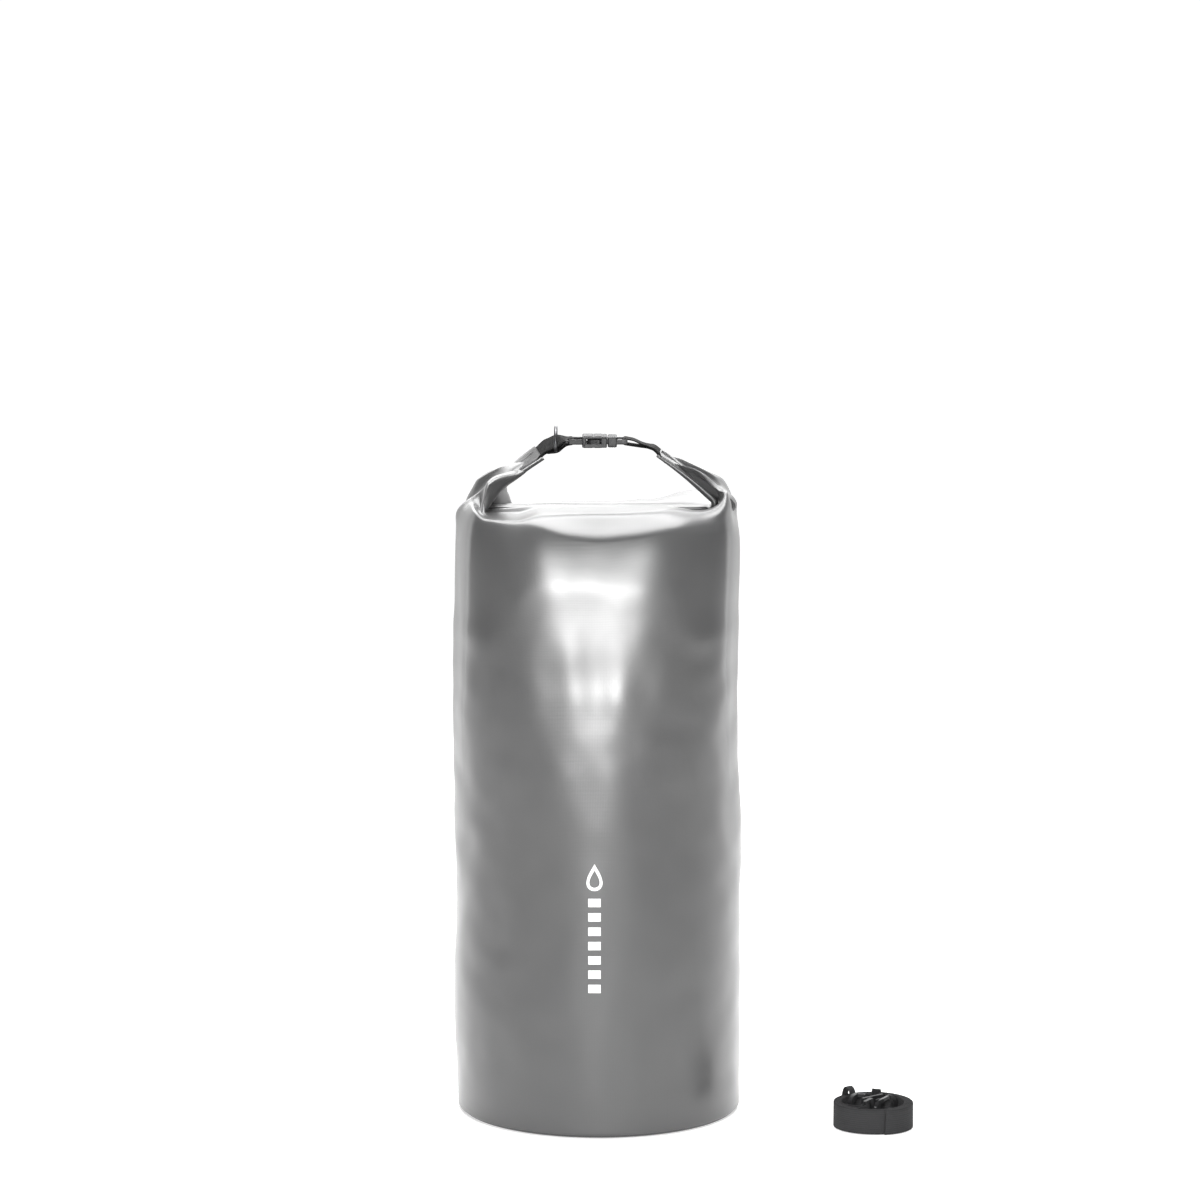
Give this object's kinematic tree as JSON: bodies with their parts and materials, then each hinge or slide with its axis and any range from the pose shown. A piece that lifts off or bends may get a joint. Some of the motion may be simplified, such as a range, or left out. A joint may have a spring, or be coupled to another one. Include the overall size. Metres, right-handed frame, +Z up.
{
  "type": "roll-top dry bag",
  "caption": "Tall cylindrical roll-top dry bag of coated fabric, its rolled mouth clipped into a carrying handle by a side-release buckle, with a coiled detachable shoulder strap beside it.",
  "frame": {"origin": "centre of the round base, on the floor", "axes": "+Z up, -Y towards the printed front, +X to the side the coiled strap lies on"},
  "size_m": [0.4575, 0.2951, 0.702],
  "materials": {
    "coated_fabric": "satin PVC-coated fabric with a fine weave showing through",
    "seam_tape": "satin welded PVC-coated fabric",
    "stiffener": "matt",
    "webbing": "woven black webbing",
    "ring_metal": "satin dark nickel",
    "buckle_plastic": "fine-textured black acetal",
    "gate_plastic": "satin black acetal"
  },
  "bodies": {
    "bag": {"bag_tube": "coated_fabric", "base_panel": "coated_fabric", "back_seam_tape": "seam_tape", "mouth_roll": "coated_fabric", "mouth_stiffener": "stiffener", "ring_patch": "seam_tape", "ring_tab": "webbing"},
    "left_end": {"left_gusset": "coated_fabric", "left_roll_end": "coated_fabric", "left_tab": "webbing"},
    "right_end": {"right_gusset": "coated_fabric", "right_roll_end": "coated_fabric", "right_tab": "webbing"},
    "housing_side": {"buckle_housing": "buckle_plastic", "left_webbing": "webbing"},
    "plug_side": {"buckle_plug": "buckle_plastic", "right_webbing": "webbing"},
    "front_latch": {"front_latch_arm": "buckle_plastic"},
    "rear_latch": {"rear_latch_arm": "buckle_plastic"},
    "upper_d_ring": {"top_ring": "ring_metal"},
    "lower_d_ring": {"lower_ring": "ring_metal"},
    "shoulder_strap": {"strap_webbing": "webbing", "strap_end_a": "webbing", "strap_end_b": "webbing", "strap_slider": "buckle_plastic", "hook_a": "buckle_plastic", "hook_b": "buckle_plastic"},
    "gate_a": {"hook_a_gate": "gate_plastic"},
    "gate_b": {"hook_b_gate": "gate_plastic"}
  },
  "joints": [
    {"name": "left_end_swing", "type": "hinge", "parent": "bag", "child": "left_end", "pos_m": [-0.115, 0, 0.62], "axis": [0, -1, 0], "range_deg": [0, 46], "deforming": ["front_latch_arm", "rear_latch_arm"]},
    {"name": "right_end_swing", "type": "hinge", "parent": "bag", "child": "right_end", "pos_m": [0.115, 0, 0.62], "axis": [0, 1, 0], "range_deg": [0, 46]},
    {"name": "housing_level", "type": "hinge", "parent": "left_end", "child": "housing_side", "pos_m": [-0.0535, 0, 0.681], "axis": [0, 1, 0], "range_deg": [0, 46]},
    {"name": "plug_level", "type": "hinge", "parent": "right_end", "child": "plug_side", "pos_m": [0.0535, 0, 0.681], "axis": [0, -1, 0], "range_deg": [0, 46]},
    {"name": "front_latch_press", "type": "hinge", "parent": "plug_side", "child": "front_latch", "pos_m": [0.011, -0.0105, 0.686], "axis": [0, 0, -1], "range_deg": [0, 12], "stiffness_Nm_per_rad": 0.3},
    {"name": "rear_latch_press", "type": "hinge", "parent": "plug_side", "child": "rear_latch", "pos_m": [0.011, 0.0105, 0.686], "axis": [0, 0, 1], "range_deg": [0, 12], "stiffness_Nm_per_rad": 0.3},
    {"name": "top_ring_tilt", "type": "hinge", "parent": "housing_side", "child": "upper_d_ring", "pos_m": [-0.0436, 0, 0.6828], "axis": [0, 0.8988, 0.4384], "range_deg": [-40, 15]},
    {"name": "lower_ring_swing", "type": "hinge", "parent": "bag", "child": "lower_d_ring", "pos_m": [0, 0.14865, 0.09], "axis": [1, 0, 0], "range_deg": [0, 110]},
    {"name": "strap_lift", "type": "slide", "parent": "bag", "child": "shoulder_strap", "axis": [0, 0, 1], "range_m": [0, 0.3]},
    {"name": "gate_a_open", "type": "hinge", "parent": "shoulder_strap", "child": "gate_a", "pos_m": [0.2685, -0.07932, 0.02868], "axis": [0.6428, -0.766, 0], "range_deg": [0, 25], "stiffness_Nm_per_rad": 0.02},
    {"name": "gate_b_open", "type": "hinge", "parent": "shoulder_strap", "child": "gate_b", "pos_m": [0.2835, -0.10068, 0.02868], "axis": [-0.6428, 0.766, 0], "range_deg": [0, 25], "stiffness_Nm_per_rad": 0.02}
  ],
  "couplings": [
    {"joint": "right_end_swing", "follows": "left_end_swing", "ratio": 1},
    {"joint": "housing_level", "follows": "left_end_swing", "ratio": 1},
    {"joint": "plug_level", "follows": "left_end_swing", "ratio": 1}
  ]
}
